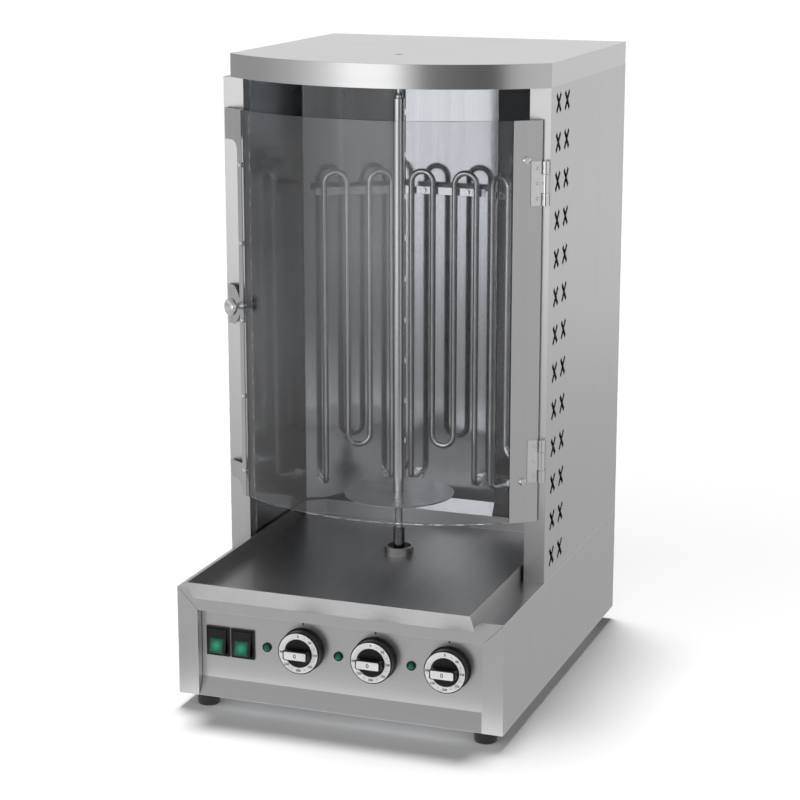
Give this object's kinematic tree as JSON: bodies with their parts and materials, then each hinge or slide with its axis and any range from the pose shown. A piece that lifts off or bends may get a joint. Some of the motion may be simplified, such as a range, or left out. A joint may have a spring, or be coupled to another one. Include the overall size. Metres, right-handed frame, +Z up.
{
  "type": "rotisserie oven",
  "caption": "Upright electric grill oven with a motor-driven vertical spit, hinged curved glass door, heaters, lift-out drip tray and front controls.",
  "frame": {"origin": "on the table under the middle of the oven's bounding box", "axes": "+Z up, +X to the right seen from the front, -Y towards the user"},
  "size_m": [0.35, 0.465, 0.66],
  "materials": {
    "case_steel": "brushed along its length, satin",
    "plain_steel": "plain mill finish",
    "liner_steel": "polished",
    "heater_steel": "heat-dulled steel sheath",
    "bright_metal": "bright plated",
    "spit_steel": "polished",
    "bush_metal": "machined",
    "tinted_glass": "grey tinted, polished",
    "black_plastic": "moulded",
    "dial_white": "printed",
    "green_lens": "clear coloured",
    "grey_plastic": "moulded",
    "motor_paint": "semi-gloss",
    "foot_rubber": "matt"
  },
  "bodies": {
    "cabinet": {"base_side_left": "case_steel", "base_side_right": "case_steel", "deck_plate": "case_steel", "control_panel": "case_steel", "side_panel_left": "case_steel", "side_panel_right": "case_steel", "top_cap": "case_steel", "rear_cover": "case_steel", "base_rear_panel": "case_steel", "bottom_plate": "plain_steel", "ceiling_plate": "plain_steel", "motor_bracket": "plain_steel", "liner_left": "liner_steel", "liner_right": "liner_steel", "reflector_left": "liner_steel", "reflector_centre": "liner_steel", "reflector_right": "liner_steel", "element_left": "heater_steel", "element_centre": "heater_steel", "element_right": "heater_steel", "element_bars": "heater_steel", "hinge_fixed_leaves": "bright_metal", "hinge_pins": "bright_metal", "case_screws": "bright_metal", "foot_screws": "bright_metal", "bracket_screws": "bright_metal", "element_bushes": "bright_metal", "top_bush": "bush_metal", "deck_bush": "bush_metal", "switch_bodies": "black_plastic", "pilot_lenses": "green_lens", "heat_regulators": "grey_plastic", "pilot_lamps": "grey_plastic", "terminal_block": "grey_plastic", "cable_gland": "grey_plastic", "gearmotor": "motor_paint", "rubber_feet": "foot_rubber"},
    "door": {"door_glass": "tinted_glass", "door_hinge_strip": "case_steel", "door_latch_strip": "case_steel", "door_knob": "bright_metal", "door_rivets": "bright_metal", "strip_screws": "bright_metal", "hinge_moving_leaves": "bright_metal", "hinge_rivets": "bright_metal"},
    "spindle": {"spit_rod": "spit_steel", "spit_tube": "spit_steel", "spit_plate": "spit_steel", "drive_coupling": "spit_steel", "output_shaft": "spit_steel"},
    "tray": {"drip_tray": "case_steel"},
    "knob_left": {"knob_1": "black_plastic", "dial_ring_1": "dial_white"},
    "knob_middle": {"knob_2": "black_plastic", "dial_ring_2": "dial_white"},
    "knob_right": {"knob_3": "black_plastic", "dial_ring_3": "dial_white"},
    "switch_left": {"rocker_1": "black_plastic", "rocker_lens_1": "green_lens"},
    "switch_right": {"rocker_2": "black_plastic", "rocker_lens_2": "green_lens"}
  },
  "joints": [
    {"name": "door_hinge", "type": "hinge", "parent": "cabinet", "child": "door", "pos_m": [0.1713, -0.0699, 0.4], "axis": [0, 0, 1], "range_deg": [0, 110]},
    {"name": "spit_turn", "type": "hinge", "parent": "cabinet", "child": "spindle", "pos_m": [0, -0.02, 0.3], "axis": [0, 0, 1], "continuous": true},
    {"name": "tray_lift", "type": "slide", "parent": "cabinet", "child": "tray", "axis": [0, 0, 1], "range_m": [0, 0.018]},
    {"name": "knob_left_turn", "type": "hinge", "parent": "cabinet", "child": "knob_left", "pos_m": [-0.04, -0.2055, 0.0755], "axis": [0, 1, 0], "range_deg": [0, 270]},
    {"name": "knob_middle_turn", "type": "hinge", "parent": "cabinet", "child": "knob_middle", "pos_m": [0.038, -0.2055, 0.0755], "axis": [0, 1, 0], "range_deg": [0, 270]},
    {"name": "knob_right_turn", "type": "hinge", "parent": "cabinet", "child": "knob_right", "pos_m": [0.116, -0.2055, 0.0755], "axis": [0, 1, 0], "range_deg": [0, 270]},
    {"name": "switch_left_rock", "type": "hinge", "parent": "cabinet", "child": "switch_left", "pos_m": [-0.1342, -0.192, 0.073], "axis": [1, 0, 0], "range_deg": [0, 24]},
    {"name": "switch_right_rock", "type": "hinge", "parent": "cabinet", "child": "switch_right", "pos_m": [-0.1066, -0.192, 0.073], "axis": [1, 0, 0], "range_deg": [0, 24]}
  ]
}
